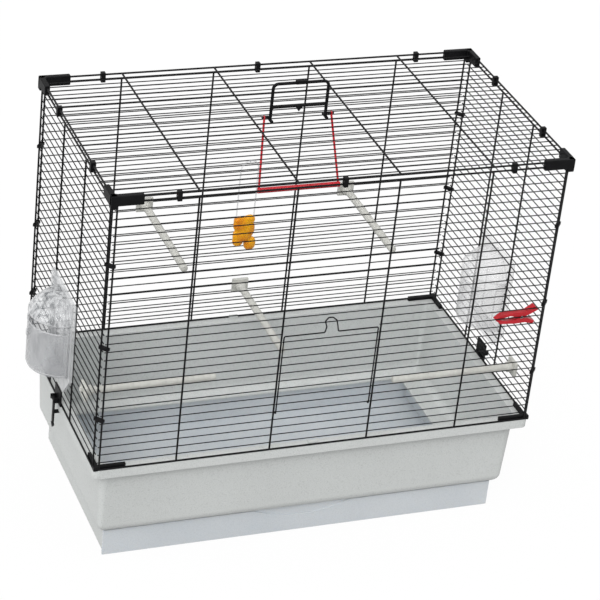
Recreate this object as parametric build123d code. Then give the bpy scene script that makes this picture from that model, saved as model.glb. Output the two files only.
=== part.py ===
# Wire bird cage on a moulded base with a pull-out drawer. Millimetres, +Z up, -Y is the door side.
import math
import os
from build123d import *

os.makedirs("parts", exist_ok=True)

# Wire box: x and y run from its centre, z from the top of the base rim
half_width = 362.5
half_depth = 196.0
thick_r = 1.5
thin_r = 0.85
wire_step = 14.0
weld_gap = thick_r + thin_r
gap = 0.1

# Heights of the rails and of the thin wires
rim_top = 0.0
low_rail_z = rim_top + thick_r + gap
first_wire_z = 13.0
wire_count = 32
panel_top_z = 461.0
roof_z = 469.0
wire_heights = [first_wire_z + wire_step * k for k in range(wire_count)]

# Uprights
end_inset_x = 7.0
end_inset_y = 8.5
front_uprights = [81.0, 232.7, half_width - end_inset_x]
side_uprights = [58.2, half_depth - end_inset_y]
wire_overhang = 3.0

# Door in the front panel
below_door_count = 4
door_cut_count = 10
door_half = 77.0
door_top_z = 206.0
door_wire_r = 1.1

# Feeder bays in the side panels
below_bay_count = 5
bay_cut_count = 9

# Base
wall_half_x = half_width - 13.5
wall_half_y = half_depth - 12.5
wall_t = 3.0
base_depth = 136.0
wall_taper = 2.8
rim_overhang = 1.5
lip_depth = 15.0
lip_t = 2.5
stand_height = 184.0

# Drawer and its runners
runner_x = wall_half_x - 23
runner_t = 3.0
flange_w = 12.0
runner_back = wall_half_y - 15.5
drawer_front_x = runner_x + 4
drawer_front_y = -(wall_half_y - 18.5)
drawer_front_t = 4.0
drawer_slack = 1.5
slide_gap = 0.3

# The part's origin is centred between the outer feeder and the far latch
axis_out = 4.1
drum_r = 53.3
knob_out = 3.1
cap_out = 4.1
left_reach = half_width + axis_out + drum_r + knob_out
strap_x = 9.5
right_reach = half_width + strap_x + 3.5
shift_x = (left_reach - right_reach) / 2


def save(name, shape):
    solids = [Pos(shift_x, 0, stand_height) * s for s in shape.solids()]
    export_step(solids[0] if len(solids) == 1 else Compound(solids), "parts/" + name + ".step")


def prism(start, end, r, sides, flat_dir):
    # Straight wire with a flat side facing flat_dir
    a = Vector(*start)
    b = Vector(*end)
    along = b - a
    big = r / math.cos(math.pi / sides)
    turn = math.pi / sides
    pts = []
    for i in range(sides):
        ang = turn + 2 * math.pi * i / sides
        pts.append((big * math.cos(ang), big * math.sin(ang)))
    plane = Plane(origin=a, x_dir=Vector(*flat_dir), z_dir=along)
    return extrude(plane * Polygon(*pts, align=None), amount=along.length)


def thick(start, end, flat_dir):
    return prism(start, end, thick_r, 8, flat_dir)


def thin(start, end, flat_dir):
    return prism(start, end, thin_r, 6, flat_dir)


def box(x, y, z):
    size = (x[1] - x[0], y[1] - y[0], z[1] - z[0])
    return Pos((x[0] + x[1]) / 2, (y[0] + y[1]) / 2, (z[0] + z[1]) / 2) * Box(*size)


def group(items):
    return Compound(children=list(items))


# Front and back panels: side is -1 for the front, 1 for the back
def long_panel(side, cut_heights):
    y = side * half_depth
    wire_y = y - side * weld_gap
    flat = (0, -side, 0)
    frame = []
    reach = half_width - end_inset_x + thick_r
    for z in (low_rail_z, panel_top_z):
        frame.append(thick((-reach, y, z), (reach, y, z), flat))
    foot = low_rail_z + thick_r
    head = panel_top_z - thick_r
    for x in front_uprights:
        for sx in (-1, 1):
            frame.append(thick((sx * x, y, foot), (sx * x, y, head), flat))
    wires = []
    end = half_width - end_inset_x + wire_overhang
    inner = front_uprights[0] - thick_r
    for z in wire_heights:
        if z in cut_heights:
            wires.append(thin((-end, wire_y, z), (-inner, wire_y, z), flat))
            wires.append(thin((inner, wire_y, z), (end, wire_y, z), flat))
        else:
            wires.append(thin((-end, wire_y, z), (end, wire_y, z), flat))
    return group(frame), group(wires)


# Left and right panels, each with a bay for a feeder
def side_panel(side, cut_heights):
    x = side * half_width
    wire_x = x - side * weld_gap
    flat = (-side, 0, 0)
    frame = []
    reach = half_depth - end_inset_y + thick_r
    for z in (low_rail_z, panel_top_z):
        frame.append(thick((x, -reach, z), (x, reach, z), flat))
    foot = low_rail_z + thick_r
    head = panel_top_z - thick_r
    for y in side_uprights:
        for sy in (-1, 1):
            frame.append(thick((x, sy * y, foot), (x, sy * y, head), flat))
    wires = []
    end = half_depth - end_inset_y + wire_overhang
    inner = side_uprights[0] - thick_r
    for z in wire_heights:
        if z in cut_heights:
            wires.append(thin((wire_x, -end, z), (wire_x, -inner, z), flat))
            wires.append(thin((wire_x, inner, z), (wire_x, end, z), flat))
        else:
            wires.append(thin((wire_x, -end, z), (wire_x, end, z), flat))
    return group(frame), group(wires)


door_cuts = wire_heights[below_door_count + 1:below_door_count + 1 + door_cut_count]
bay_cuts = wire_heights[below_bay_count:below_bay_count + bay_cut_count]

front_frame, front_wires = long_panel(-1, door_cuts)
back_frame, back_wires = long_panel(1, [])
left_frame, left_wires = side_panel(-1, bay_cuts)
right_frame, right_wires = side_panel(1, bay_cuts)
save("front_panel_frame", front_frame)
save("front_panel_wires", front_wires)
save("back_panel_frame", back_frame)
save("back_panel_wires", back_wires)
save("left_panel_frame", left_frame)
save("left_panel_wires", left_wires)
save("right_panel_frame", right_frame)
save("right_panel_wires", right_wires)

# Roof: a frame of thick wires with thin wires under its cross bars
roof_frame = []
roof_end = half_width + thick_r
down = (0, 0, -1)
for sy in (-1, 1):
    y = sy * half_depth
    roof_frame.append(thick((-roof_end, y, roof_z), (roof_end, y, roof_z), down))
cross_end = half_depth - thick_r
for x in front_uprights[:2] + [half_width]:
    for sx in (-1, 1):
        roof_frame.append(thick((sx * x, -cross_end, roof_z), (sx * x, cross_end, roof_z), down))
roof_wire_z = roof_z - weld_gap
roof_count = int((2 * half_depth - wire_step / 2) / wire_step)
roof_ys = [-half_depth + wire_step * k for k in range(1, roof_count + 1)]
roof_wires = [thin((-roof_end, y, roof_wire_z), (roof_end, y, roof_wire_z), down) for y in roof_ys]
save("roof_panel_frame", group(roof_frame))
save("roof_panel_wires", group(roof_wires))

# Wire door, hooked round a panel wire at its lower edge
door_hinge_z = wire_heights[below_door_count]
door_y = -half_depth
hinge_y = door_y + weld_gap
loop_z = 232.0
loop_half = 7.5
neck_half = 9.0
door_path = Polyline(
    (-door_half, door_hinge_z),
    (-door_half, door_top_z),
    (-neck_half - 2, door_top_z),
    (-neck_half, door_top_z + 10),
    (-loop_half - 5, loop_z - 6),
    (-loop_half, loop_z),
    (loop_half - 8, loop_z),
    (loop_half - 1, loop_z - 6),
    (neck_half, door_top_z + 10),
    (neck_half + 2, door_top_z),
    (door_half, door_top_z),
    (door_half, door_hinge_z),
)
corners = door_path.vertices()
flat_path = fillet([corners[1], corners[-2]], 5)
door_plane = Plane(origin=(0, door_y, 0), x_dir=(1, 0, 0), z_dir=(0, -1, 0))
door_loop = door_plane * flat_path
start = door_loop @ 0
door_section = Plane(origin=start, z_dir=door_loop % 0) * RegularPolygon(door_wire_r, 6)
door_bar = sweep(door_section, path=door_loop, transition=Transition.RIGHT)
hooks = []
for sx in (-1, 1):
    hook_plane = Plane(origin=(sx * door_half, hinge_y, door_hinge_z), x_dir=(0, -1, 0), z_dir=(1, 0, 0))
    arc = hook_plane * CenterArc((0, 0), weld_gap, 0, 170)
    if (arc @ 0.5).Z > door_hinge_z:
        arc = hook_plane * CenterArc((0, 0), weld_gap, 0, -170)
    section = Plane(origin=arc @ 0, z_dir=arc % 0) * RegularPolygon(door_wire_r, 6)
    hooks.append(sweep(section, path=arc))
save("door_frame", Part() + [door_bar] + hooks)
door_wires = []
door_wire_y = door_y + door_wire_r * math.cos(math.pi / 6) + thin_r + 0.15
for z in door_cuts[:-1]:
    door_wires.append(thin((-door_half - 1, door_wire_y, z), (door_half + 1, door_wire_y, z), (0, 1, 0)))
save("door_wires", group(door_wires))

# Base tray: tapered walls, a rim with a lip, and a ledge round an open floor
outer = extrude(RectangleRounded(2 * wall_half_x, 2 * wall_half_y, 14), amount=-base_depth, taper=wall_taper)
outer = fillet(outer.edges().group_by(Axis.Z)[0], 18)
inside_x = 2 * (wall_half_x - wall_t)
inside_y = 2 * (wall_half_y - wall_t)
inner = extrude(RectangleRounded(inside_x, inside_y, 11), amount=-(base_depth - wall_t), taper=wall_taper)
inner = fillet(inner.edges().group_by(Axis.Z)[0], 15)
rim_x = 2 * (half_width + rim_overhang)
rim_y = 2 * (half_depth + rim_overhang)
rim = extrude(RectangleRounded(rim_x, rim_y, 10), amount=-lip_depth)
under = extrude(RectangleRounded(rim_x - 2 * lip_t, rim_y - 2 * lip_t, 7.5), amount=-(lip_depth - wall_t))
rim = rim - Pos(0, 0, -wall_t) * under
rim = rim - extrude(RectangleRounded(inside_x, inside_y, 11), amount=-wall_t)
hole_x = wall_half_x - 49
hole_y = (-(wall_half_y - 33.5), wall_half_y - 28.5)
ledge_hole = box((-hole_x, hole_x), hole_y, (-base_depth - 1, -base_depth + wall_t + 1))
base = outer - inner + rim - ledge_hole
lug_y = (-half_depth + thick_r + gap, -half_depth + thick_r + 5)
for sy in (-1, 1):
    ys = sorted((-sy * lug_y[0], -sy * lug_y[1]))
    base = base + box((-15, 0), ys, (-1, 6))
save("base_tray", base)

# Runners under the ledge carry the drawer
foot_z = -stand_height
ledge_z = -base_depth
for name, side in (("left", -1), ("right", 1)):
    web_x = sorted((side * runner_x, side * (runner_x - runner_t)))
    flange_x = sorted((side * (runner_x - runner_t), side * (runner_x - runner_t - flange_w)))
    ys = (drawer_front_y + drawer_front_t + 0.5, runner_back)
    web = box(web_x, ys, (foot_z, ledge_z))
    flange = box(flange_x, ys, (foot_z, foot_z + runner_t))
    save("drawer_runner_" + name, web + flange)

# Drawer: front plate with an arched finger recess, and a tray that rides on the runners
tray_x = runner_x - runner_t - drawer_slack
tray_back = runner_back - 2
tray_z = foot_z + runner_t + slide_gap
tray_top = ledge_z - drawer_slack
tray_t = 2.0
plate_y = (drawer_front_y, drawer_front_y + drawer_front_t)
drawer = box((-tray_x, tray_x), (plate_y[1] - 0.5, tray_back), (tray_z, tray_top))
room_x = tray_x - tray_t
drawer = drawer - box((-room_x, room_x), (plate_y[1], tray_back - tray_t), (tray_z + tray_t, 0))
front_plate = box((-drawer_front_x, drawer_front_x), plate_y, (foot_z + 0.5, tray_top))
scoop_half = 82.5
scoop_drop = 17.0
scoop_r = (scoop_half ** 2 + scoop_drop ** 2) / (2 * scoop_drop)
scoop = Rot(X=90) * Cylinder(scoop_r, drawer_front_t)
scoop = Pos(0, drawer_front_y, tray_top - scoop_drop + scoop_r) * scoop
save("drawer", drawer + (front_plate - scoop))

# Corner caps over the roof rails, and joints at the foot of the wire box
cap_t = 2.5
cap_low = panel_top_z - 10
cap_high = roof_z + thick_r + gap + cap_t
cap_arm_x = 50.0
cap_arm_y = 40.0
shell_face = RectangleRounded(2 * (half_width + cap_out), 2 * (half_depth + cap_out), 6)
shell = extrude(shell_face, amount=cap_high - cap_low)
bore = extrude(
    Rectangle(2 * (half_width + cap_out - cap_t), 2 * (half_depth + cap_out - cap_t)),
    amount=cap_high - cap_low - cap_t,
)
window = extrude(Rectangle(2 * (half_width - 9), 2 * (half_depth - 9)), amount=cap_high - cap_low)
ring = Pos(0, 0, cap_low) * (shell - bore - window)
joint_h = 7.0
joint_w = 5.2
joint_arm_x = 50.0
joint_arm_y = 42.0
corners = (("front_left", -1, -1), ("front_right", 1, -1), ("back_left", -1, 1), ("back_right", 1, 1))
for name, sx, sy in corners:
    xs = sorted((sx * (half_width + cap_out + 1), sx * (half_width + cap_out - cap_arm_x)))
    ys = sorted((sy * (half_depth + cap_out + 1), sy * (half_depth + cap_out - cap_arm_y)))
    save("top_cap_" + name, ring & box(xs, ys, (cap_low - 1, cap_high + 1)))
    edge = thick_r + gap
    arm_x = sorted((sx * (half_width + thick_r), sx * (half_width - joint_arm_x)))
    arm_x_y = sorted((sy * (half_depth - edge), sy * (half_depth - edge - joint_w)))
    nub_x = sorted((sx * (half_width + thick_r), sx * (half_width - end_inset_x + thick_r + gap)))
    nub_y = sorted((sy * (half_depth + thick_r), sy * (half_depth - edge)))
    arm_y_x = sorted((sx * (half_width - edge), sx * (half_width - edge - joint_w)))
    arm_y = sorted((sy * (half_depth - edge - joint_w), sy * (half_depth - joint_arm_y)))
    joint = box(arm_x, arm_x_y, (0, joint_h)) + box(nub_x, nub_y, (0, joint_h))
    joint = joint + box(arm_y_x, arm_y, (0, joint_h))
    save("bottom_joint_" + name, joint)

# Edge clips: one kind holds a panel rail to a roof rail, the other ties two uprights at a corner
clip_w = 7.0
clips = []
bore_r = thick_r + gap
for x in (99 - half_width, -7.5, half_width - 96):
    for sy in (-1, 1):
        y = sy * half_depth
        clip = box((x - clip_w / 2, x + clip_w / 2), (y - 4.2, y + 4.2), (panel_top_z - 4, roof_z + 4))
        for z in (panel_top_z, roof_z):
            clip = clip - prism((x - 5, y, z), (x + 5, y, z), bore_r, 4, (0, 0, -1))
        clips.append(clip)
clip_y = half_depth - 105
for y in (-clip_y, clip_y):
    for sx in (-1, 1):
        x = sx * half_width
        clip = box((x - 4.2, x + 4.2), (y - clip_w / 2, y + clip_w / 2), (panel_top_z - 4, roof_z + 4))
        for z in (panel_top_z, roof_z):
            clip = clip - prism((x, y - 5, z), (x, y + 5, z), bore_r, 4, (0, 0, -1))
        clips.append(clip)
tie_angle = math.degrees(math.atan2(end_inset_y, end_inset_x))
for z in (90.0, 216.0, 356.0):
    for sx in (-1, 1):
        for sy in (-1, 1):
            a = (sx * (half_width - end_inset_x), sy * half_depth)
            b = (sx * half_width, sy * (half_depth - end_inset_y))
            mid = ((a[0] + b[0]) / 2, (a[1] + b[1]) / 2)
            tie = Pos(mid[0], mid[1], z) * Rot(Z=-sx * sy * tie_angle) * Box(17, 6, 5)
            for x, y in (a, b):
                tie = tie - prism((x, y, z - 3), (x, y, z + 3), bore_r, 8, (1, 0, 0))
            clips.append(tie)
save("edge_clips", group(clips))

# Perches: a bar with a flared cap and a tab that goes between the wires
bar_r = 6.0
perch_len = 214.0
cap_plate = 5.0


def perch(tab_drop):
    # Lies along +X from its cap at x = 0
    cap = extrude(Plane.YZ * chamfer(Rectangle(25, 28).vertices(), 4), amount=cap_plate)
    collar = prism((cap_plate, 0, 0), (cap_plate + 9, 0, 0), 8.5, 8, (0, 0, 1))
    bar = prism((cap_plate, 0, 0), (perch_len, 0, 0), bar_r, 8, (0, 0, 1))
    tip = chamfer(bar.faces().sort_by(Axis.X)[-1].edges(), 2)
    tab = box((-5.5, 0), (-4, 4), (tab_drop - 2.5, tab_drop + 2.5))
    return cap + collar + tip + tab


seat = thick_r + 2 * thin_r + gap
back_seat = half_depth - seat
side_seat = half_width - seat
save("upper_left_perch", Pos(-half_width / 2, back_seat, 235) * Rot(Z=-90) * perch(-5))
save("upper_right_perch", Pos(half_width / 2 - 13, back_seat, 234) * Rot(Z=-90) * perch(-4))
save("middle_perch", Pos(-2.5, back_seat, 66) * Rot(Z=-90) * perch(-4))
save("low_left_perch", Pos(-side_seat, 92 - half_depth, 86) * perch(4))
save("low_right_perch", Pos(side_seat, 66 - half_depth, 60) * Rot(Z=180) * perch(2))

# Swing: a hanger that stands on two roof wires, and a frame that hangs from its pins
swing_x = -9.0
swing_y = 7.0
pin_z = 473.0
roof_wire_top = roof_wire_z + thin_r
hanger_half = 45.0
hanger_high = 63.5
hanger_top = roof_wire_top + hanger_high
bar_w = 5.0
arch_h = 60.0
brace_z = hanger_top - 44
arch_face = RectangleRounded(2 * hanger_half + bar_w, arch_h, 10)
arch_face = arch_face - RectangleRounded(2 * hanger_half - bar_w, arch_h - 2 * bar_w, 6)
arch = extrude(Plane.XZ * arch_face, amount=bar_w / 2, both=True)
arch = Pos(swing_x, swing_y, hanger_top - arch_h / 2) * arch
arch_low = hanger_top - arch_h + bar_w + 6
arch = arch - box((-200, 200), (-20, 40), (roof_wire_z, arch_low))
brace_x = (swing_x - hanger_half, swing_x + hanger_half)
brace = box(brace_x, (swing_y - 2, swing_y + 2), (brace_z, brace_z + 4.5))
nub_face = Polygon((-7, 0), (7, 0), (0, -8), align=None)
nub = Pos(swing_x, swing_y, brace_z + 1) * extrude(Plane.XZ * nub_face, amount=2, both=True)
ridge = box((swing_x - 9, swing_x + 9), (swing_y - 3, swing_y + 3), (hanger_top - bar_w, hanger_top + 1.5))
hanger = arch + brace + nub + ridge
for sx in (-1, 1):
    cx = swing_x + sx * hanger_half
    low_z = roof_wire_top + gap
    hanger = hanger + box((cx - 2.5, cx + 2.5), (swing_y - 2.5, swing_y + 2.5), (low_z, arch_low + 2))
    hanger = hanger + box((cx - 2.5, cx + 2.5), (swing_y - 8.5, swing_y + 8.5), (low_z, low_z + 2.5))
    pin = Pos(cx + sx * 8, swing_y, pin_z) * Rot(Y=90) * Cylinder(1.5, 12)
    hanger = hanger + pin
save("swing_hanger", hanger)

ring_x = 55.0
foot_x = 65.5
drop = 112.0
leg_t = 3.4
swing = prism((-foot_x - 2, 0, -drop), (foot_x + 2, 0, -drop), 4.5, 8, (0, 0, 1))
for sx in (-1, 1):
    leg = prism((sx * ring_x, 0, -1), (sx * foot_x, 0, -drop), leg_t / 2, 4, (0, 1, 0))
    eye = Pos(sx * ring_x, 0, 0) * Rot(Y=90) * Cylinder(3.4, leg_t)
    eye_hole = Pos(sx * ring_x, 0, 0) * Rot(Y=90) * Cylinder(1.56, leg_t + 20)
    swing = (swing + leg + eye) - eye_hole
save("swing", Pos(swing_x, swing_y, pin_z) * Rot(X=-18) * swing)

# Hanging toy: a loop laid over a roof wire, and the body on its ends
toy_x = -132.0
toy_y = -half_depth + 5 * wire_step
toy_top = 381.0
loop_r = 15.0
loop_apex = 473.5
strand = loop_apex - loop_r - toy_top
path = Wire([
    Line((-loop_r, -strand), (-loop_r, 0)),
    CenterArc((0, 0), loop_r, 180, -180),
    Line((loop_r, 0), (loop_r, -strand)),
])
turn = math.radians(10)
toy_plane = Plane(
    origin=(toy_x, toy_y, loop_apex - loop_r),
    x_dir=(math.cos(turn), math.sin(turn), 0),
    z_dir=(math.sin(turn), -math.cos(turn), 0),
)
toy_wire = toy_plane * path
toy_section = Plane(origin=toy_wire @ 0, z_dir=toy_wire % 0) * RegularPolygon(1.0, 6)
saddle_r = thin_r + 0.25
saddle = Rot(Y=90) * (Cylinder(saddle_r + 1.2, 4) - Cylinder(saddle_r, 5))
saddle = saddle & box((-3, 3), (-3, 3), (0, 3))
stem = box((-1.5, 1.5), (-0.8, 0.8), (saddle_r + 0.5, loop_apex - roof_wire_z))
save("toy_loop", sweep(toy_section, path=toy_wire) + Pos(toy_x, toy_y, roof_wire_z) * (saddle + stem))
toy_t = 14.0
body_face = RectangleRounded(38, 44, 9) + Pos(12, -28) * Circle(11)
body = extrude(Plane.XZ * body_face, amount=toy_t / 2, both=True)
save("toy_body", Pos(toy_x, toy_y, toy_top - 22) * Rot(Z=10) * body)

# Feeders: built for the right side about the turning axis, u is outwards
frame_u = (thick_r + gap, thick_r + gap + 5)
plate_t = 2.0
drum_low = 76.0
drum_high = 203.0
hood_low = 172.0
window_low = 156.0
window_half = 54.8
frame_face = Polygon(
    (-62.5, 210), (62.5, 210), (62.5, 75), (35, 42), (-35, 42), (-62.5, 75), align=None)
frame = extrude(Plane.YZ * frame_face, amount=frame_u[1] - frame_u[0], dir=(1, 0, 0))
frame = Pos(frame_u[0] - axis_out, 0, 0) * frame
frame = frame - box((-10, 10), (-window_half, window_half), (drum_low - 1, drum_high + 1.8))
frame = frame - Pos(0, 0, (drum_low + drum_high) / 2) * Cylinder(1.55, drum_high - drum_low + 9)
knob_z = 136.0
knob_half = 5.0
notch = drum_r + knob_out + 0.6
frame = frame - box((-10, 10), (-notch, notch), (knob_z - knob_half - 0.6, knob_z + knob_half + 0.6))


drum_steps = 14


def half_disc(r, z):
    # Half of a round outline, drawn in flat steps
    turns = [math.pi * k / drum_steps - math.pi / 2 for k in range(drum_steps + 1)]
    return Pos(0, 0, z) * Polygon(*[(r * math.cos(a), r * math.sin(a)) for a in turns], align=None)


def half_drum(r, low, high):
    return extrude(half_disc(r, low), amount=high - low, dir=(0, 0, 1))


def half_hood(low_r, high_r, low, high):
    return loft([half_disc(low_r, low), half_disc(high_r, high)], ruled=True)


cup = half_drum(drum_r, drum_low, window_low)
cup = cup - (half_drum(drum_r - 2, drum_low + 2, window_low + 1) & box((1, 60), (-60, 60), (0, 300)))
plate = box((-1, 1), (-drum_r, drum_r), (drum_low, drum_high))
pins = Pos(0, 0, (drum_low + drum_high) / 2) * Cylinder(1.5, drum_high - drum_low + 8)
pins = pins - box((-9, 9), (-9, 9), (drum_low, drum_high))
knob_face = RectangleRounded(4.6, 2 * knob_half, 2.2)
knob = Pos(drum_r - 1, 0, knob_z) * extrude(Plane.YZ * knob_face, amount=knob_out + 1)
cup = cup + plate + pins + knob
hood_t = 2.0
crown_r = 24.0
collar_low = hood_low - 4
inner_r = drum_r - hood_t
post_low = window_low + 0.05
hood = half_drum(drum_r, post_low, hood_low) + half_hood(drum_r, crown_r, hood_low, drum_high)
hood = hood - half_drum(inner_r, post_low - 1, hood_low)
hood = hood - half_hood(inner_r, crown_r - 1, hood_low, drum_high - hood_t)
hood = hood - box((24, 60), (-60, 60), (post_low - 1, collar_low))
hood = hood & box((1 + gap, 60), (-60, 60), (0, 300))

for name, side, facing in (("left", -1, 180), ("right", 1, 180)):
    place = Pos(side * (half_width + axis_out), 0, 0)
    frame_turn = Rot(Z=0 if side > 0 else 180)
    save("feeder_frame_" + name, place * frame_turn * frame)
    save("feeder_cup_" + name, place * Rot(Z=facing) * cup)
    save("feeder_hood_" + name, place * Rot(Z=facing) * hood)

# Side latches: a bracket on the wires, and a strap that hooks under the rim lip
strap_z = 8.0
bracket = box((thick_r + gap, thick_r + gap + 2.5), (-16, 16), (0.5, 28))
for y in (-1, 1):
    ys = sorted((y * 6, y * 9))
    bracket = bracket + box((3, strap_x + 3.5), ys, (strap_z - 4, strap_z + 4))
bracket = bracket - Pos(strap_x, 0, strap_z) * Rot(X=90) * Cylinder(2.06, 40)
strap = box((strap_x - 1.2, strap_x + 1.2), (-3.5, 3.5), (-34, strap_z))
strap = strap + prism((strap_x, -5, strap_z), (strap_x, 5, strap_z), 3.2, 8, (0, 0, 1))
strap = strap + Pos(strap_x, 0, strap_z) * Rot(X=90) * Cylinder(2.0, 18)
catch_z = -lip_depth - slide_gap
strap = strap + box((-0.5, strap_x), (-3.5, 3.5), (catch_z - 3, catch_z))
diamond = Pos(strap_x, 0, -39) * Rot(X=45) * Box(2.4, 9, 9)
diamond = diamond - Pos(strap_x, 0, -39) * Rot(X=45) * Box(3, 5, 5)
strap = strap + diamond
for name, side in (("left", -1), ("right", 1)):
    place = Pos(side * half_width, 0, 0) * Rot(Z=0 if side > 0 else 180)
    save("latch_bracket_" + name, place * bracket)
    save("latch_strap_" + name, place * strap)

# Food clip: two halves that rock on a spring ring, just behind the front wires
peg_x = half_width - 38.5
peg_z = 193.0
peg_low_y = -half_depth + seat
peg_w = 10.0
ring_r = 3.0


def peg_half(points):
    face = Polygon(*points, align=None)
    body = extrude(Plane.XZ * face, amount=peg_w, dir=(0, 1, 0))
    return body - Rot(X=90) * Cylinder(ring_r + 0.08, 80)


upper = peg_half([
    (-46, 0.2), (-36.5, 7.5), (-10, 10), (6, 10.5), (19.5, 19.5), (26.5, 12),
    (13, 5), (4, 1.6), (-6, 0.2), (-10, 3), (-21, 4.5), (-32, 2.5), (-38, 0.2),
])
lower = peg_half([
    (-46, -0.2), (-36.5, -8), (-10, -10), (6, -9), (20, -13), (22.5, -8),
    (12, -3), (4, -1.2), (-6, -0.2), (-10, -3), (-21, -4.5), (-32, -2.5), (-38, -0.2),
])
place = Pos(peg_x, peg_low_y, peg_z)
save("peg_upper_half", place * upper)
save("peg_lower_half", place * lower)
save("peg_spring_ring", place * Pos(0, peg_w / 2 + 0.5, 0) * Rot(X=90) * Cylinder(ring_r, peg_w + 1))
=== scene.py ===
import math
import bpy
import bmesh
from mathutils import Matrix, Vector


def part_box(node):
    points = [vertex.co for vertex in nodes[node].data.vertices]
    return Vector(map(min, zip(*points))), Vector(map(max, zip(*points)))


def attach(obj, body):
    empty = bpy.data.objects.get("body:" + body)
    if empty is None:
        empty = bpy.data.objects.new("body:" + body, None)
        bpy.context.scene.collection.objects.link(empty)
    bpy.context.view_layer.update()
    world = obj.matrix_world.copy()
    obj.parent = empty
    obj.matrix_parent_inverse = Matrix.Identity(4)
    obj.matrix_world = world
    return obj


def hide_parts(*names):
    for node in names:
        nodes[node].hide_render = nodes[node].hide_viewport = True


# Wire bird cage: round wires, moulded fittings and their finishes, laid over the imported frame
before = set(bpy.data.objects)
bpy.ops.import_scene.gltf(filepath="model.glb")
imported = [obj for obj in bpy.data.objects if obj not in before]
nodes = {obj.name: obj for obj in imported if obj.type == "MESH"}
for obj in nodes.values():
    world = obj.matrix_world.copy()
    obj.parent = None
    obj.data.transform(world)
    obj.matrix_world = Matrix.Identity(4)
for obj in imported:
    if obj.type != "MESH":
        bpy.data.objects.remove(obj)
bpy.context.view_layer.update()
print("frame loaded:", len(nodes), "nodes")

# Places are in millimetres from the middle of the wire box, z from the top of the base rim
trayLow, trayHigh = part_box("base_tray")
middleX = (trayLow[0] + trayHigh[0]) / 2
rimZ = 0.184


def mm(value):
    return value / 1000


def at(x, y, z):
    return Vector((middleX + mm(x), mm(y), rimZ + mm(z)))


# Materials

def newMaterial(name, color):
    mat = bpy.data.materials.new(name)
    mat.use_nodes = True
    mat.diffuse_color = (*color, 1)
    shader = mat.node_tree.nodes["Principled BSDF"]
    shader.inputs["Base Color"].default_value = (*color, 1)
    return mat, mat.node_tree, shader


def addNoise(tree, scale, detail, stretch=None):
    coord = tree.nodes.new("ShaderNodeTexCoord")
    noise = tree.nodes.new("ShaderNodeTexNoise")
    noise.inputs["Scale"].default_value = scale
    noise.inputs["Detail"].default_value = detail
    source = coord.outputs["Object"]
    if stretch:
        mapping = tree.nodes.new("ShaderNodeMapping")
        mapping.inputs["Scale"].default_value = stretch
        tree.links.new(source, mapping.inputs["Vector"])
        source = mapping.outputs["Vector"]
    tree.links.new(source, noise.inputs["Vector"])
    return noise.outputs["Fac"]


def addRamp(tree, source, stops):
    ramp = tree.nodes.new("ShaderNodeValToRGB")
    while len(ramp.color_ramp.elements) < len(stops):
        ramp.color_ramp.elements.new(0.5)
    for element, (place, color) in zip(ramp.color_ramp.elements, stops):
        element.position = place
        element.color = (*color, 1)
    tree.links.new(source, ramp.inputs["Fac"])
    return ramp.outputs["Color"]


def mapRange(tree, source, low, high):
    spread = tree.nodes.new("ShaderNodeMapRange")
    spread.inputs["To Min"].default_value = low
    spread.inputs["To Max"].default_value = high
    tree.links.new(source, spread.inputs["Value"])
    return spread.outputs["Result"]


def addBump(tree, shader, source, strength, distance):
    bump = tree.nodes.new("ShaderNodeBump")
    bump.inputs["Strength"].default_value = strength
    bump.inputs["Distance"].default_value = distance
    tree.links.new(source, bump.inputs["Height"])
    tree.links.new(bump.outputs["Normal"], shader.inputs["Normal"])


def multiplied(tree, first, second):
    mix = tree.nodes.new("ShaderNodeMix")
    mix.data_type = "RGBA"
    mix.blend_type = "MULTIPLY"
    mix.inputs["Factor"].default_value = 1
    tree.links.new(first, mix.inputs["A"])
    tree.links.new(second, mix.inputs["B"])
    return mix.outputs["Result"]


# Noises are (scale, detail), and the ramp says where the cloud noise turns from dark to light

def mouldedMaterial(name, look):
    mat, tree, shader = newMaterial(name, look["light"])
    cloud = addNoise(tree, *look["cloud"])
    grain = addNoise(tree, *look["grain"])
    darkEnd, lightEnd = look["ramp"]
    tone = addRamp(tree, cloud, [(darkEnd, look["dark"]), (lightEnd, look["light"])])
    tree.links.new(tone, shader.inputs["Base Color"])
    tree.links.new(mapRange(tree, grain, *look["roughness"]), shader.inputs["Roughness"])
    if "grain bump" in look:
        addBump(tree, shader, grain, *look["grain bump"])
    if "cloud bump" in look:
        addBump(tree, shader, cloud, *look["cloud bump"])
    for socket, value in look["sockets"].items():
        shader.inputs[socket].default_value = value
    return mat


wirePaint = {
    "dark": (0.00294, 0.00294, 0.00329), "light": (0.00714, 0.00714, 0.00799), "ramp": (0.35, 0.7),
    "cloud": (900, 4), "grain": (900, 4), "roughness": (0.36, 0.55), "grain bump": (0.25, 0.0002),
    "sockets": {"Specular IOR Level": 0.13},
}
wireCoat = mouldedMaterial("black_wire_paint", wirePaint)

fittingPlastic = {
    "dark": (0.00336, 0.00336, 0.00376), "light": (0.00672, 0.00672, 0.00752), "ramp": (0.3, 0.7),
    "cloud": (60, 4), "grain": (1400, 6), "roughness": (0.38, 0.58), "grain bump": (0.35, 0.0002),
    "sockets": {"Specular IOR Level": 0.08},
}
blackPlastic = mouldedMaterial("black_fitting_plastic", fittingPlastic)

drawerPlastic = {
    "dark": (0.512, 0.545, 0.572), "light": (0.55, 0.578, 0.6), "ramp": (0.35, 0.65),
    "cloud": (7, 3), "grain": (900, 3), "roughness": (0.22, 0.34), "grain bump": (0.12, 0.0002),
    "sockets": {"Subsurface Weight": 0.25, "Subsurface Radius": (0.01, 0.012, 0.015)},
}
bluePlastic = mouldedMaterial("pale_blue_drawer_plastic", drawerPlastic)

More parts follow.
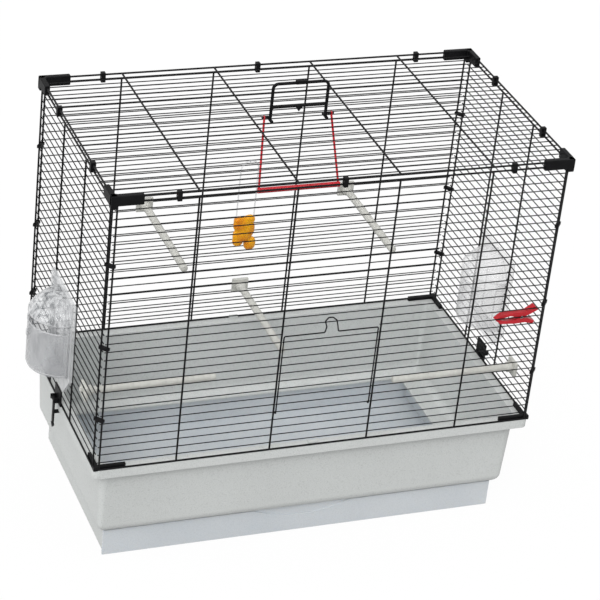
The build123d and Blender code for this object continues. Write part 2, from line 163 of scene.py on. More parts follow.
perchPlastic = {
    "dark": (0.45, 0.45, 0.42), "light": (0.53, 0.53, 0.495), "ramp": (0.3, 0.7),
    "cloud": (40, 3), "grain": (700, 4), "roughness": (0.5, 0.68), "grain bump": (0.4, 0.0004),
    "sockets": {},
}
greyPlastic = mouldedMaterial("grey_perch_plastic", perchPlastic)

redPlastic = {
    "dark": (0.36, 0.003, 0.009), "light": (0.5, 0.005, 0.016), "ramp": (0.3, 0.65),
    "cloud": (50, 3), "grain": (1200, 3), "roughness": (0.2, 0.34), "grain bump": (0.1, 0.0002),
    "sockets": {
        "Specular IOR Level": 0.35, "Subsurface Weight": 0.1, "Subsurface Radius": (0.006, 0.001, 0.001),
    },
}
redGloss = mouldedMaterial("red_gloss_plastic", redPlastic)

toyPlastic = {
    "dark": (0.64, 0.20, 0.002), "light": (0.78, 0.36, 0.003), "ramp": (0.35, 0.62),
    "cloud": (45, 3), "grain": (800, 3), "roughness": (0.2, 0.35), "cloud bump": (0.3, 0.001),
    "sockets": {
        "Specular IOR Level": 0.28, "Subsurface Weight": 0.2, "Subsurface Radius": (0.012, 0.006, 0.001),
    },
}
amberPlastic = mouldedMaterial("amber_toy_plastic", toyPlastic)

springSteel = {
    "dark": (0.44, 0.44, 0.448), "light": (0.55, 0.55, 0.56), "ramp": (0.3, 0.7),
    "cloud": (1500, 3), "grain": (1500, 3), "roughness": (0.22, 0.4), "sockets": {"Metallic": 1},
}
springMetal = mouldedMaterial("spring_steel", springSteel)

# The tray's plastic has fine dark and light specks, wider blotches and a very soft cloud
basePlastic = {
    "color": (0.548, 0.566, 0.557), "dark speck": (0.36, 0.375, 0.365), "light speck": (0.63, 0.645, 0.64),
    "specks": (900, 2), "speck ramp": (0.28, 0.42, 0.6, 0.74),
    "blotches": (405, 3), "blotch shade": 0.86, "blotch ramp": (0.28, 0.46),
    "cloud": (9, 2), "cloud shade": 0.96, "cloud ramp": (0.3, 0.7),
    "roughness": (0.42, 0.6), "bump": (0.3, 0.0003),
    "sockets": {"Subsurface Weight": 0.04, "Subsurface Radius": (0.004, 0.004, 0.004)},
}


def baseMaterial(name, look):
    mat, tree, shader = newMaterial(name, look["color"])
    fine = addNoise(tree, *look["specks"])
    coarse = addNoise(tree, *look["blotches"])
    cloud = addNoise(tree, *look["cloud"])
    tones = (look["dark speck"], look["color"], look["color"], look["light speck"])
    color = addRamp(tree, fine, list(zip(look["speck ramp"], tones)))
    for noise, kind in ((coarse, "blotch"), (cloud, "cloud")):
        darkEnd, lightEnd = look[kind + " ramp"]
        stops = [(darkEnd, (look[kind + " shade"],) * 3), (lightEnd, (1, 1, 1))]
        color = multiplied(tree, color, addRamp(tree, noise, stops))
    tree.links.new(color, shader.inputs["Base Color"])
    tree.links.new(mapRange(tree, fine, *look["roughness"]), shader.inputs["Roughness"])
    addBump(tree, shader, coarse, *look["bump"])
    for socket, value in look["sockets"].items():
        shader.inputs[socket].default_value = value
    return mat


speckledPlastic = baseMaterial("speckled_base_plastic", basePlastic)

# Cover is how much of a clear part is seen, face on and at its edges; the streaks of painted highlight and
# painted shade are (scale, height share)
clearPlastic = {
    "roughness": (0.05, 0.2), "ripple": (120, 3), "bump": (0.3, 0.001), "edge blend": 0.42,
    "wave ramp": (0.36, 0.58), "wave detail": 3, "ior": 1.5,
    "cup": {
        "bright": (0.60, 0.61, 0.625), "painted shade": (0.44, 0.45, 0.465), "cover": (0.24, 0.7), "paintedStreaks": (34, 0.3),
    },
    "hood": {
        "bright": (0.74, 0.75, 0.76), "painted shade": (0.2, 0.21, 0.22), "cover": (0.24, 0.72), "paintedStreaks": (150, 0.4),
    },
    "plate": {
        "bright": (0.66, 0.67, 0.68), "painted shade": (0.5, 0.51, 0.52), "cover": (0.32, 0.75), "paintedStreaks": (60, 0.3),
    },
    "far": {
        "bright": (0.82, 0.82, 0.825), "painted shade": (0.74, 0.74, 0.745), "cover": (0.12, 0.47), "paintedStreaks": (30, 0.3),
    },
    # The rib lines are a painted highlight: bright and nearly solid
    "rib": {
        "bright": (0.85, 0.85, 0.86), "painted shade": (0.7, 0.7, 0.71), "cover": (0.75, 0.95), "paintedStreaks": (60, 0.3),
    },
}


def clearMaterial(name, kind):
    shared = clearPlastic
    look = clearPlastic[kind]
    mat, tree, shader = newMaterial(name, look["bright"])
    ripple = addNoise(tree, *shared["ripple"])
    tree.links.new(mapRange(tree, ripple, *shared["roughness"]), shader.inputs["Roughness"])
    addBump(tree, shader, ripple, *shared["bump"])
    # Tall noise streaks move the colour between the painted shade and the painted highlight of the clear
    # wall
    scale, share = look["paintedStreaks"]
    paintedStreaks = addNoise(tree, scale, shared["wave detail"], (1, 1, share))
    darkEnd, lightEnd = shared["wave ramp"]
    tone = addRamp(tree, paintedStreaks, [(darkEnd, look["painted shade"]), (lightEnd, look["bright"])])
    tree.links.new(tone, shader.inputs["Base Color"])
    facing = tree.nodes.new("ShaderNodeLayerWeight")
    facing.inputs["Blend"].default_value = shared["edge blend"]
    cover = mapRange(tree, facing.outputs["Facing"], *look["cover"])
    tree.links.new(cover, shader.inputs["Alpha"])
    shader.inputs["IOR"].default_value = shared["ior"]
    return mat


clearSheet = clearMaterial("clear_cup_plastic", "cup")
hoodSheet = clearMaterial("clear_hood_plastic", "hood")
milkySheet = clearMaterial("clear_plate_plastic", "plate")
farSheet = clearMaterial("clear_far_plastic", "far")
highlightRibSheet = clearMaterial("clear_rib_painted_highlight", "rib")
print("materials made")


# Shapes

def finishPiece(obj, mat, body, slotName, *stoodFor):
    obj.data.materials.append(mat)
    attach(obj, body)
    if stoodFor:
        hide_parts(*stoodFor)


def newCurve(name, radius, sides=4):
    data = bpy.data.curves.new(name, "CURVE")
    data.dimensions = "3D"
    data.bevel_depth = radius
    data.bevel_resolution = sides
    data.use_fill_caps = True
    obj = bpy.data.objects.new(name, data)
    bpy.context.scene.collection.objects.link(obj)
    return obj


def addLine(obj, points, closed=False, thickness=1.0):
    # Thickness is a share of the curve's own radius
    spline = obj.data.splines.new("POLY")
    spline.points.add(len(points) - 1)
    for point, place in zip(spline.points, points):
        point.co = (*place, 1)
        point.radius = thickness
    spline.use_cyclic_u = closed


def roundCorners(points, radius, steps=6):
    # The same points, with each inner corner turned into an arc of about that radius
    out = [points[0]]
    for before, corner, after in zip(points, points[1:], points[2:]):
        a = (before - corner).normalized()
        b = (after - corner).normalized()
        wanted = radius / math.tan(a.angle(b) / 2)
        reach = min(wanted, (before - corner).length / 2, (after - corner).length / 2)
        start = corner + a * reach
        end = corner + b * reach
        for k in range(steps + 1):
            t = k / steps
            out.append(start * (1 - t) ** 2 + corner * 2 * t * (1 - t) + end * t ** 2)
    out.append(points[-1])
    return out


def meshPiece(name, build):
    mesh = bpy.data.meshes.new(name)
    bm = bmesh.new()
    build(bm)
    bmesh.ops.recalc_face_normals(bm, faces=bm.faces)
    bm.to_mesh(mesh)
    bm.free()
    obj = bpy.data.objects.new(name, mesh)
    bpy.context.scene.collection.objects.link(obj)
    return obj


def smoothFaces(obj, angle=35):
    for polygon in obj.data.polygons:
        polygon.use_smooth = True
    obj.data.set_sharp_from_angle(angle=math.radians(angle))


def softenEdges(obj, width, segments=3, angle=30):
    weld = obj.modifiers.new("weld", "WELD")
    weld.merge_threshold = 0.00001
    bevel = obj.modifiers.new("bevel", "BEVEL")
    bevel.width = width
    bevel.segments = segments
    bevel.limit_method = "ANGLE"
    bevel.angle_limit = math.radians(angle)
    bevel.harden_normals = True


def addBlock(bm, low, high, matrix=None):
    # A box between two corners, in the matrix's own directions where one is given
    places = [(x, y, z) for x in (low[0], high[0]) for y in (low[1], high[1]) for z in (low[2], high[2])]
    if matrix:
        places = [matrix @ Vector(p) for p in places]
    verts = [bm.verts.new(p) for p in places]
    for face in ((0, 1, 3, 2), (4, 6, 7, 5), (0, 4, 5, 1), (2, 3, 7, 6), (0, 2, 6, 4), (1, 5, 7, 3)):
        bm.faces.new([verts[i] for i in face])


def addTurned(bm, profile, matrix, steps=28, part=360.0, closed=False):
    # Turns a profile of (radius, height) points about the z axis of the matrix
    full = part >= 360
    count = steps if full else steps + 1
    rings = []
    for k in range(count):
        turn = math.radians(part) * k / steps
        ring = [matrix @ Vector((r * math.cos(turn), r * math.sin(turn), h)) for r, h in profile]
        rings.append([bm.verts.new(p) for p in ring])
    last = len(profile) if closed else len(profile) - 1
    for k in range(steps):
        a = rings[k]
        b = rings[(k + 1) % count]
        for i in range(last):
            j = (i + 1) % len(profile)
            bm.faces.new((a[i], b[i], b[j], a[j]))
    if closed and not full:
        bm.faces.new(rings[0])
        bm.faces.new(list(reversed(rings[-1])))
    bmesh.ops.remove_doubles(bm, verts=bm.verts, dist=0.000001)


def lathed(start, direction, side=(0, 0, 1)):
    # Matrix whose z axis runs along direction from start
    z = Vector(direction).normalized()
    x = Vector(side).cross(z)
    x.normalize()
    y = z.cross(x)
    matrix = Matrix((x, y, z)).transposed().to_4x4()
    matrix.translation = start
    return matrix


# Wires: each prism of a panel node becomes a round wire with the same axis and thickness

thickWire = {"radius": mm(1.5), "smoothness": 4, "faces": 28}
thinWire = {"radius": mm(0.85), "smoothness": 3, "faces": 20}


def wireBoxes(mesh, facesEach):
    # The faces of a wire follow each other, so every run of facesEach is one wire
    boxes = []
    for first in range(0, len(mesh.polygons), facesEach):
        places = []
        for polygon in mesh.polygons[first:first + facesEach]:
            places += [mesh.vertices[i].co for i in polygon.vertices]
        low = Vector(min(p[i] for p in places) for i in range(3))
        high = Vector(max(p[i] for p in places) for i in range(3))
        boxes.append((low, high))
    return boxes


def roundWires(node, kind, body="cage"):
    obj = newCurve(node + "_round", kind["radius"], kind["smoothness"])
    for low, high in wireBoxes(nodes[node].data, kind["faces"]):
        size = high - low
        axis = max(range(3), key=lambda i: size[i])
        start = (low + high) / 2
        end = start.copy()
        start[axis] = low[axis]
        end[axis] = high[axis]
        addLine(obj, [start, end])
    finishPiece(obj, wireCoat, body, "black_wire", node)


for panel in ("front", "back", "left", "right", "roof"):
    roundWires(panel + "_panel_frame", thickWire)
    roundWires(panel + "_panel_wires", thinWire)
roundWires("door_wires", thinWire, "door")
print("panel wires made")

# Door frame: one bent wire with a spring loop at its top and a hook at each foot

doorWire = {
    "radius": 1.1, "half": 77.0, "low": 69.0, "top": 206.0, "y": -196.0, "hinge y": -193.65,
    "neck half": 9.0, "neck foot": 11.0, "neck rise": 10.0, "loop top": 232.0, "loop shoulder": 6.0,
    "loop left": (-12.5, -7.5), "loop right": (-0.5, 6.5), "bend": 3.0, "hook steps": 10, "hook turn": 170,
}


def doorFrame():
    d = doorWire
    obj = newCurve("door_frame_round", mm(d["radius"]))
    half = d["half"]
    top = d["top"]
    neckTop = top + d["neck rise"]
    shoulder = d["loop top"] - d["loop shoulder"]
    outerLeft, innerLeft = d["loop left"]
    innerRight, outerRight = d["loop right"]
    outline = [
        (-half, d["low"]), (-half, top), (-d["neck foot"], top), (-d["neck half"], neckTop),
        (outerLeft, shoulder), (innerLeft, d["loop top"]),
        (innerRight, d["loop top"]), (outerRight, shoulder),
        (d["neck half"], neckTop), (d["neck foot"], top), (half, top), (half, d["low"]),
    ]
    points = [at(x, d["y"], z) for x, z in outline]
    addLine(obj, roundCorners(points, mm(d["bend"])))
    reach = d["hinge y"] - d["y"]
    for side in (-1, 1):
        hook = []
        for k in range(d["hook steps"] + 1):
            turn = math.radians(d["hook turn"] * k / d["hook steps"])
            y = d["hinge y"] - reach * math.cos(turn)
            z = d["low"] - reach * math.sin(turn)
            hook.append(at(side * half, y, z))
        addLine(obj, hook)
    finishPiece(obj, wireCoat, "door", "black_wire", "door_frame")


doorFrame()
print("door made")

# Top corner caps: two arms and a short post under the corner

capSizes = {
    "half x": 362.5, "half y": 196.0, "out": 4.0, "in": 4.6, "arm x": 50, "arm y": 40,
    "top": 473.0, "arm low": 456.5, "corner low": 451.2, "corner": 11, "step": 0.05, "edge": 1.6,
}


def topCap(name, sideX, sideY):
    c = capSizes
    outX = c["half x"] + c["out"]
    outY = c["half y"] + c["out"]
    step = c["step"]

    def build(bm):
        # The three blocks end a hair apart, so that no two faces lie in one plane
        def slab(x0, x1, y0, y1, z0):
            left, right = sorted((sideX * x0, sideX * x1))
            front, back = sorted((sideY * y0, sideY * y1))
            addBlock(bm, at(left, front, z0), at(right, back, c["top"]))

        slab(outX - c["arm x"], outX, c["half y"] - c["in"], outY, c["arm low"])
        slab(c["half x"] - c["in"], outX, outY - c["arm y"], outY - step, c["arm low"] + step)
        slab(outX - c["corner"], outX - step, outY - c["corner"], outY - step * 2, c["corner low"])

    obj = meshPiece(name + "_moulded", build)
    finishPiece(obj, blackPlastic, "cage", "black_plastic", name)
    smoothFaces(obj)
    softenEdges(obj, mm(c["edge"]), 4)


for end, sideY in (("front", -1), ("back", 1)):
    for hand, sideX in (("left", -1), ("right", 1)):
        topCap("top_cap_" + end + "_" + hand, sideX, sideY)

# Perches: a ribbed round bar in a collar on a square end cap, with a tab that holds on a wire

perchSizes = {
    "bar": 6.0, "length": 214.0, "tip": 2.2, "cap": (5.0, 25.0, 28.0), "collar": 8.6, "collar length": 13.0,
    "collar round": 2.5, "ribs": 22, "first rib": 6, "rib width": 1.0, "rib depth": 0.22,
    "tab": (2.5, 4.0), "tab reach": (-5.4, 0.5), "edge": 1.4, "back seat": 192.7, "side seat": 359.2,
}


def perch(node, start, direction, tabDrop):
    s = perchSizes
    matrix = lathed(start, direction)
    capDepth, capWide, capHigh = (mm(v) for v in s["cap"])
    bar = s["bar"]
    reach = s["length"] - s["tip"]
    first = s["collar length"] + s["first rib"]
    profile = [(0.0, s["cap"][0]), (s["collar"], s["cap"][0]), (s["collar"], s["collar length"])]
    profile += [(bar, s["collar length"] + s["collar round"])]
    for k in range(s["ribs"]):
        z = first + (reach - first) / s["ribs"] * k
        profile += [(bar, z), (bar - s["rib depth"], z + s["rib width"] / 2), (bar, z + s["rib width"])]
    profile += [(bar, reach), (bar * 0.93, reach + s["tip"] * 0.5), (bar * 0.72, reach + s["tip"] * 0.87)]
    profile += [(0.0, s["length"])]
    profile = [(mm(radius), mm(z)) for radius, z in profile]

    def build(bm):
        addTurned(bm, profile, matrix, 24)
        addBlock(bm, (-capHigh / 2, -capWide / 2, 0), (capHigh / 2, capWide / 2, capDepth), matrix)
        tab = matrix.inverted() @ (start + Vector((0, 0, mm(tabDrop))))
        halfX, halfY = (mm(v) for v in s["tab"])
        low, high = (mm(v) for v in s["tab reach"])
        addBlock(bm, (tab.x - halfX, tab.y - halfY, low), (tab.x + halfX, tab.y + halfY, high), matrix)

    obj = meshPiece(node + "_moulded", build)
    finishPiece(obj, greyPlastic, "cage", "perch_grey", node)
    softenEdges(obj, mm(s["edge"]), 4, 50)
    smoothFaces(obj, 40)


# Where each perch starts, which way it points, and how far its tab lies from its middle
backSeat = perchSizes["back seat"]
sideSeat = perchSizes["side seat"]
perchPlaces = {
    "upper_left_perch": ((-181.25, backSeat, 235), (0, -1, 0), -5),
    "upper_right_perch": ((168.25, backSeat, 234), (0, -1, 0), -4),
    "middle_perch": ((-2.5, backSeat, 66), (0, -1, 0), -4),
    "low_left_perch": ((-sideSeat, -104, 86), (1, 0, 0), 4),
    "low_right_perch": ((sideSeat, -130, 60), (-1, 0, 0), 2),
}
for node, (place, direction, tabDrop) in perchPlaces.items():
    perch(node, at(*place), direction, tabDrop)
print("caps and perches made")

# Roof hanger: an arch with a brace, a small nub, a grip, two feet and two pins for the swing

hangerSizes = {
    "x": -9.0, "y": 7.0, "half": 45.0, "top": 531.0, "bar": 2.5, "bend": 9.0, "low": 468.0,
    "brace": 489.2, "brace drop": 7.0, "brace bend": 5.0, "brace share": 0.86,
    "pin": 473.0, "pin reach": 14.0, "pin share": 0.59,
    "foot half": (2.6, 8.4), "foot z": (467.6, 470.2), "grip half": (9.0, 2.9), "grip z": (-4.6, 1.4),
    "nub": ((-7, 0.3), (7, 0.3), (0, -9.0)), "nub half": 2, "edge": 0.7,
}


def swingHanger():
    h = hangerSizes
    obj = newCurve("swing_hanger_bars", mm(h["bar"]))
    x = h["x"]
    y = h["y"]
    left = x - h["half"]
    right = x + h["half"]
    crown = h["top"] - h["bar"]
    arch = [at(left, y, h["low"]), at(left, y, crown), at(right, y, crown), at(right, y, h["low"])]
    addLine(obj, roundCorners(arch, mm(h["bend"]), 8))
    braceEnd = h["brace"] - h["brace drop"]
    brace = [(left, braceEnd), (left + 1, h["brace"]), (right - 1, h["brace"]), (right, braceEnd)]
    points = roundCorners([at(px, y, pz) for px, pz in brace], mm(h["brace bend"]))
    addLine(obj, points, thickness=h["brace share"])
    for side in (-1, 1):
        legX = x + side * h["half"]
        pin = [at(legX + side, y, h["pin"]), at(legX + side * h["pin reach"], y, h["pin"])]
        addLine(obj, pin, thickness=h["pin share"])
    finishPiece(obj, blackPlastic, "cage", "black_plastic", "swing_hanger")

    def build(bm):
        halfX, halfY = h["foot half"]
        low, high = h["foot z"]
        for side in (-1, 1):
            legX = x + side * h["half"]
            addBlock(bm, at(legX - halfX, y - halfY, low), at(legX + halfX, y + halfY, high))
        halfX, halfY = h["grip half"]
        low, high = (h["top"] + v for v in h["grip z"])
        addBlock(bm, at(x - halfX, y - halfY, low), at(x + halfX, y + halfY, high))
        ends = []
        for side in (-1, 1):
            nubY = y + side * h["nub half"]
            ends.append([bm.verts.new(at(x + nx, nubY, h["brace"] + nz)) for nx, nz in h["nub"]])
        near, far = ends
        bm.faces.new(near)
        bm.faces.new(list(reversed(far)))
        for i in range(3):
            j = (i + 1) % 3
            bm.faces.new((near[i], far[i], far[j], near[j]))

    feet = meshPiece("swing_hanger_feet", build)
    finishPiece(feet, blackPlastic, "cage", "black_plastic")
    softenEdges(feet, mm(h["edge"]))


swingHanger()

# Swing: two legs that end in eyes round the hanger's pins, and a thick bar between their feet

swingSizes = {
    "ring": 55.0, "foot": 65.5, "drop": 112.0, "bar out": 2, "leg": 1.75, "bar": 4.4, "tilt": -18,
    "eye": 2.5, "eye wire": 0.95, "eye steps": 20,
}


def swingFrame():
    s = swingSizes
    h = hangerSizes
    obj = newCurve("swing_moulded", mm(s["leg"]))
    turn = Matrix.Rotation(math.radians(s["tilt"]), 4, "X")

    def hung(x, y, z):
        return at(h["x"], h["y"], h["pin"]) + turn @ Vector((mm(x), mm(y), mm(z)))

    barEnd = s["foot"] + s["bar out"]
    addLine(obj, [hung(-barEnd, 0, -s["drop"]), hung(barEnd, 0, -s["drop"])], thickness=s["bar"] / s["leg"])
    for side in (-1, 1):
        addLine(obj, [hung(side * s["ring"], 0, -s["eye"]), hung(side * s["foot"], 0, -s["drop"])])
        eye = []
        for k in range(s["eye steps"]):
            angle = math.tau * k / s["eye steps"]
            eye.append(hung(side * s["ring"], s["eye"] * math.sin(angle), s["eye"] * math.cos(angle)))
        addLine(obj, eye, True, s["eye wire"] / s["leg"])
    finishPiece(obj, redGloss, "swing", "red_plastic", "swing")


swingFrame()

# Hanging toy: a clear loop over a roof wire, and a body of rounded lumps joined into one skin

toySizes = {
    "x": -132.0, "y": -126.0, "turn": 10, "loop": 15.0, "apex": 473.5, "saddle": 468.8, "low": 379.0,
    "wire": 1.0, "loop steps": 16, "squareness": 0.8, "skin": 1.1,
    "lumps": (
        ((-3, 0, 368), (15.5, 6.6, 12)), ((2, 0, 358), (16, 6.8, 15)), ((-2, 0, 350), (16, 6.8, 12)),
        ((12, 0, 333), (9.5, 6.6, 11)), ((-9, 0, 341), (8.5, 6, 9)), ((8, 0, 374), (9, 6, 7)),
        ((-10, 0, 375), (8, 6, 6)),
    ),
}


def hangingToy():
    s = toySizes
    turn = Matrix.Rotation(math.radians(s["turn"]), 4, "Z")

    def hung(x, y, z):
        return at(s["x"], s["y"], z) + turn @ Vector((mm(x), mm(y), 0))

    loop = newCurve("toy_loop_round", mm(s["wire"]), 3)
    centre = s["apex"] - s["loop"]
    points = [hung(-s["loop"], 0, s["low"])]
    for k in range(s["loop steps"] + 1):
        angle = math.pi * (1 - k / s["loop steps"])
        points.append(hung(s["loop"] * math.cos(angle), 0, centre + s["loop"] * math.sin(angle)))
    points.append(hung(s["loop"], 0, s["low"]))
    addLine(loop, points)
    addLine(loop, [hung(0, 0, s["apex"]), hung(0, 0, s["saddle"])])
    finishPiece(loop, clearSheet, "toy", "clear_plastic", "toy_loop")

    def build(bm):
        for place, size in s["lumps"]:
            made = bmesh.ops.create_uvsphere(bm, u_segments=24, v_segments=16, radius=1)
            for vert in made["verts"]:
                push = [math.copysign(abs(c) ** s["squareness"], c) for c in vert.co]
                x, y, z = (place[i] + push[i] * size[i] for i in range(3))
                vert.co = hung(x, y, z)

    body = meshPiece("toy_body_moulded", build)
    finishPiece(body, amberPlastic, "toy", "yellow_plastic", "toy_body")
    remesh = body.modifiers.new("join", "REMESH")
    remesh.mode = "VOXEL"
    remesh.voxel_size = mm(s["skin"])
    remesh.use_smooth_shade = True
    smooth = body.modifiers.new("smooth", "SMOOTH")
    smooth.iterations = 6


hangingToy()
print("swing and toy made")

# Turning feeders: a half-round cup on a back plate, a fluted hood over it, and ribs in the cup's wall

feederSizes = {
    "axis": 366.6, "r": 53.3, "wall": 1.8, "low": 76.0, "rim": 155.8, "window": 168.0, "hood": 172.0,
    "crown": 24.0, "high": 203.0, "foot round": 5, "foot step": 1.4, "lip": 0.4, "lip height": (3, 2.4),
    "inner round": (4, 6), "plate": (-1, 0.9), "rail": 20, "rail half": 0.8, "rail out": 3.2,
    "knob z": 136.0, "knob half": (2.2, 5), "knob reach": (-1, 3.0), "pin": 1.5, "pin length": 3.8,
    "flutes": 30, "flute depth": 0.5, "bulge": 3.2, "bulge steps": 8, "crown gap": (1, 0.6),
    "hood gap": 0.5, "hood front": 1.2, "hood wall": 1.4, "cup edge": 0.5, "centre": 0.5,
    "post x": (0.3, 2.6), "post depth": 18.0, "post gap": 0.1,
    "rib": 0.6, "rib in": 1.1, "rib foot": 5, "rib head": 1.2, "rib turns": (6, 52, 118, 174),
    "arc": (4, 172), "arc steps": 24,
}


def feeder(side, name):
    f = feederSizes
    near = side < 0
    matrix = Matrix.Translation(at(side * f["axis"], 0, 0)) @ Matrix.Rotation(math.radians(90), 4, "Z")
    r = mm(f["r"])
    wall = mm(f["wall"])
    low = mm(f["low"])
    rim = mm(f["rim"])
    window = mm(f["window"])
    high = mm(f["high"])
    centre = mm(f["centre"])

    def cupBuild(bm):
        footRound = mm(f["foot round"])
        footStep = mm(f["foot step"])
        lipStart, lipFull = (rim - mm(v) for v in f["lip height"])
        innerIn, innerUp = (mm(v) for v in f["inner round"])
        lip = r + mm(f["lip"])
        outline = [(centre, low), (r - footRound, low), (r - footStep, low + footStep), (r, low + footRound)]
        outline += [(r, lipStart), (lip, lipFull), (lip, rim), (r - wall, rim), (r - wall, low + innerUp)]
        outline += [(r - wall - innerIn, low + wall), (centre, low + wall)]
        addTurned(bm, outline, matrix, 40, 180, True)
        back, front = (mm(v) for v in f["plate"])
        addBlock(bm, (-r, back, low), (r, front, high), matrix)
        railHalf = f["rail half"]
        for x in (-f["rail"], f["rail"]):
            corner = (mm(x + railHalf), mm(f["rail out"]), rim)
            addBlock(bm, (mm(x - railHalf), front, low + wall), corner, matrix)
        halfX, halfZ = (mm(v) for v in f["knob half"])
        start, end = (r + mm(v) for v in f["knob reach"])
        knobZ = mm(f["knob z"])
        addBlock(bm, (-halfX, start, knobZ - halfZ), (halfX, end, knobZ + halfZ), matrix)
        pin = mm(f["pin"])
        pinLength = mm(f["pin length"])
        for z in (low - pinLength, high):
            addTurned(bm, [(0.0, z), (pin, z), (pin, z + pinLength), (0.0, z + pinLength)], matrix, 16)

    body = "feeder_" + name
    cup = meshPiece("feeder_cup_" + name + "_moulded", cupBuild)
    finishPiece(cup, clearSheet if near else farSheet, body, "clear_plastic", "feeder_cup_" + name)
    softenEdges(cup, mm(f["cup edge"]), 2, 50)
    smoothFaces(cup, 35)

    def hoodBuild(bm):
        hoodLow = mm(f["hood"])
        crown = mm(f["crown"])
        gap = mm(f["hood gap"])
        front = mm(f["hood front"])
        steps = f["flutes"] * 4
        rows = [(r, window), (r, hoodLow)]
        crownTop, middleTop = (high - mm(v) for v in f["crown gap"])
        for k in range(1, f["bulge steps"] + 1):
            t = k / f["bulge steps"]
            bulge = mm(f["bulge"]) * math.sin(math.pi * t)
            rows.append((r + (crown - r) * t + bulge, hoodLow + (crownTop - hoodLow) * t))
        rows.append((centre, middleTop))
        rings = []
        for k in range(steps + 1):
            turn = math.pi * k / steps
            flute = mm(f["flute depth"]) * math.cos(turn * f["flutes"] * 2)
            ring = []
            for i, (radius, z) in enumerate(rows):
                push = flute if 1 < i < len(rows) - 1 else 0
                x = (radius + push - gap) * math.cos(turn)
                ring.append(bm.verts.new(matrix @ Vector((x, max(front, radius * math.sin(turn)), z))))
            rings.append(ring)
        for a, b in zip(rings, rings[1:]):
            for i in range(len(rows) - 1):
                bm.faces.new((a[i], b[i], b[i + 1], a[i + 1]))
        for hand in (-1, 1):
            x0, x1 = sorted(hand * (r - mm(v)) for v in f["post x"])
            addBlock(bm, (x0, front, rim + mm(f["post gap"])), (x1, mm(f["post depth"]), window), matrix)

    hood = meshPiece("feeder_hood_" + name + "_moulded", hoodBuild)
    finishPiece(hood, hoodSheet if near else farSheet, body, "clear_plastic", "feeder_hood_" + name)
    thick = hood.modifiers.new("wall", "SOLIDIFY")
    thick.thickness = mm(f["hood wall"])
    thick.offset = -1
    smoothFaces(hood, 50)

    # Lines where the clear walls are thicker, coloured bright and nearly solid as painted highlights of
    # those thick edges
    ribs = newCurve("feeder_highlight_ribs_" + name, mm(f["rib"]), 2)
    reach = r - mm(f["rib in"])
    foot = low + mm(f["rib foot"])
    head = rim - mm(f["rib head"])

    def ribPoint(degrees, z):
        turn = math.radians(degrees)
        return matrix @ Vector((reach * math.cos(turn), reach * math.sin(turn), z))

    arcStart, arcTurn = f["arc"]
    for z in (foot, head, window + mm(f["rib head"])):
        arc = [ribPoint(arcStart + arcTurn * k / f["arc steps"], z) for k in range(f["arc steps"] + 1)]
        addLine(ribs, arc)
    for degrees in f["rib turns"]:
        addLine(ribs, [ribPoint(degrees, foot), ribPoint(degrees, head)])
    finishPiece(ribs, highlightRibSheet if near else farSheet, body, "clear_plastic")


feeder(-1, "left")
feeder(1, "right")

# Spring of the food clip: a coil of thin wire

springSizes = {
    "x": 324.0, "z": 193.0, "front": -192.6, "back": -182.9,
    "coil": 2.4, "wire": 0.5, "turns": 5, "steps": 16,
}


def pegSpring():
    s = springSizes
    obj = newCurve("peg_spring_coil", mm(s["wire"]), 3)
    steps = s["turns"] * s["steps"]
    points = []
    for k in range(steps + 1):
        turn = math.tau * k / s["steps"]
        y = s["front"] + (s["back"] - s["front"]) * k / steps
        points.append(at(s["x"] + s["coil"] * math.cos(turn), y, s["z"] + s["coil"] * math.sin(turn)))
    addLine(obj, points)
    finishPiece(obj, springMetal, "cage", "spring_steel", "peg_spring_ring")


pegSpring()
print("feeders and clip made")

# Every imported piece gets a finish, and those that are seen as they are get soft edges, in mm
finishes = {
    "base_tray": (speckledPlastic, 0.8),
    "drawer": (bluePlastic, 0.7),
    "drawer_runner": (speckledPlastic, 0.4),
    "top_cap": (blackPlastic, 0),
    "bottom_joint": (blackPlastic, 0.6),
    "edge_clips": (blackPlastic, 0.5),
    "latch": (blackPlastic, 0.3),
    "swing_hanger": (blackPlastic, 0),
    "feeder_frame_left": (milkySheet, 0.5),
    "feeder_frame_right": (farSheet, 0.5),
    "feeder_cup": (clearSheet, 0),
    "feeder_hood": (clearSheet, 0),
    "peg_spring": (springMetal, 0),
    "peg": (redGloss, 0.4),
    "swing": (redGloss, 0),
    "toy_loop": (clearSheet, 0),
    "toy_body": (amberPlastic, 0),
}


def finishOf(node):
    if node.endswith("perch"):
        return greyPlastic, 0
    for start in sorted(finishes, key=len, reverse=True):
        if node.startswith(start):
            return finishes[start]
    return wireCoat, 0


for node, obj in nodes.items():
    mat, width = finishOf(node)
    obj.data.materials.clear()
    obj.data.materials.append(mat)
    if width:
        softenEdges(obj, mm(width))
print("packed pieces finished")

# Studio: lamps are (strength, turn in degrees, softness in degrees)

studio = {
    "floor size": 9.0, "floor drop": 0.0005, "floor roughness": 0.9,
    "floor dark": (0.3366, 0.3366, 0.3366), "floor light": (0.34, 0.34, 0.34), "floor grain": (30, 3),
    "white share": 0.9, "white": 1.06, "sky": 0.82,
    "key_light": (1.85, (50, 0, -30), 30),
    "side_light": (0.8, (62, 0, -95), 40),
    "top_light": (0.8, (10, 4, 0), 50),
}


def seenDirectly(tree):
    # 1 for what the camera sees, also by reflection or through clear parts, and 0 for light on the object
    ways = tree.nodes.new("ShaderNodeLightPath")
    result = ways.outputs["Is Camera Ray"]
    for kind in ("Is Glossy Ray", "Is Transmission Ray"):
        larger = tree.nodes.new("ShaderNodeMath")
        larger.operation = "MAXIMUM"
        tree.links.new(result, larger.inputs[0])
        tree.links.new(ways.outputs[kind], larger.inputs[1])
        result = larger.outputs[0]
    return result


def mixShaders(tree, share, first, second, target):
    mix = tree.nodes.new("ShaderNodeMixShader")
    tree.links.new(share, mix.inputs["Fac"])
    tree.links.new(first.outputs[0], mix.inputs[1])
    tree.links.new(second.outputs[0], mix.inputs[2])
    tree.links.new(mix.outputs[0], target.inputs["Surface"])


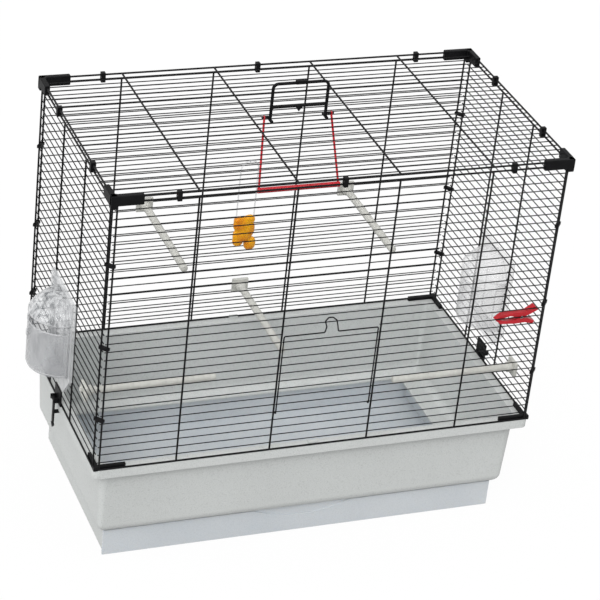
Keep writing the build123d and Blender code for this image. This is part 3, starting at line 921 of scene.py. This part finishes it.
def whiteWorld():
    world = bpy.data.worlds.new("studio")
    bpy.context.scene.world = world
    world.use_nodes = True
    tree = world.node_tree
    tree.nodes.clear()
    out = tree.nodes.new("ShaderNodeOutputWorld")
    soft = tree.nodes.new("ShaderNodeBackground")
    soft.inputs["Strength"].default_value = studio["sky"]
    white = tree.nodes.new("ShaderNodeBackground")
    white.inputs["Color"].default_value = (1, 1, 1, 1)
    mixShaders(tree, seenDirectly(tree), soft, white, out)


def paleFloor():
    size = studio["floor size"]

    def build(bm):
        corners = ((-1, -1), (1, -1), (1, 1), (-1, 1))
        bm.faces.new([bm.verts.new((x * size, y * size, -studio["floor drop"])) for x, y in corners])

    floor = meshPiece("studio_floor", build)
    mat, tree, shader = newMaterial("pale_floor", studio["floor light"])
    shader.inputs["Roughness"].default_value = studio["floor roughness"]
    grain = addNoise(tree, *studio["floor grain"])
    tone = addRamp(tree, grain, [(0.3, studio["floor dark"]), (0.7, studio["floor light"])])
    tree.links.new(tone, shader.inputs["Base Color"])
    white = tree.nodes.new("ShaderNodeEmission")
    white.inputs["Strength"].default_value = studio["white"]
    share = tree.nodes.new("ShaderNodeMath")
    share.operation = "MULTIPLY"
    share.inputs[1].default_value = studio["white share"]
    tree.links.new(seenDirectly(tree), share.inputs[0])
    mixShaders(tree, share.outputs[0], shader, white, tree.nodes["Material Output"])
    floor.data.materials.append(mat)


def sunLamp(name):
    strength, turn, softness = studio[name]
    data = bpy.data.lights.new(name, "SUN")
    data.energy = strength
    data.angle = math.radians(softness)
    lamp = bpy.data.objects.new(name, data)
    lamp.rotation_euler = [math.radians(v) for v in turn]
    bpy.context.scene.collection.objects.link(lamp)


whiteWorld()
paleFloor()
for lampName in ("key_light", "side_light", "top_light"):
    sunLamp(lampName)

# Camera, as fitted to the wires

view = {
    "place": (-1.314382, -3.138477, 2.315121),
    "turn": (59.69863, -5.73605, -20.16470),
    "lens": 148.5598, "sensor": 36, "far": 60,
}
cameraData = bpy.data.cameras.new("camera")
cameraData.sensor_width = view["sensor"]
cameraData.lens = view["lens"]
cameraData.clip_end = view["far"]
camera = bpy.data.objects.new("camera", cameraData)
camera.location = view["place"]
camera.rotation_euler = [math.radians(v) for v in view["turn"]]
bpy.context.scene.collection.objects.link(camera)
bpy.context.scene.camera = camera
bpy.context.scene.view_settings.view_transform = "Standard"
print("studio and camera set")
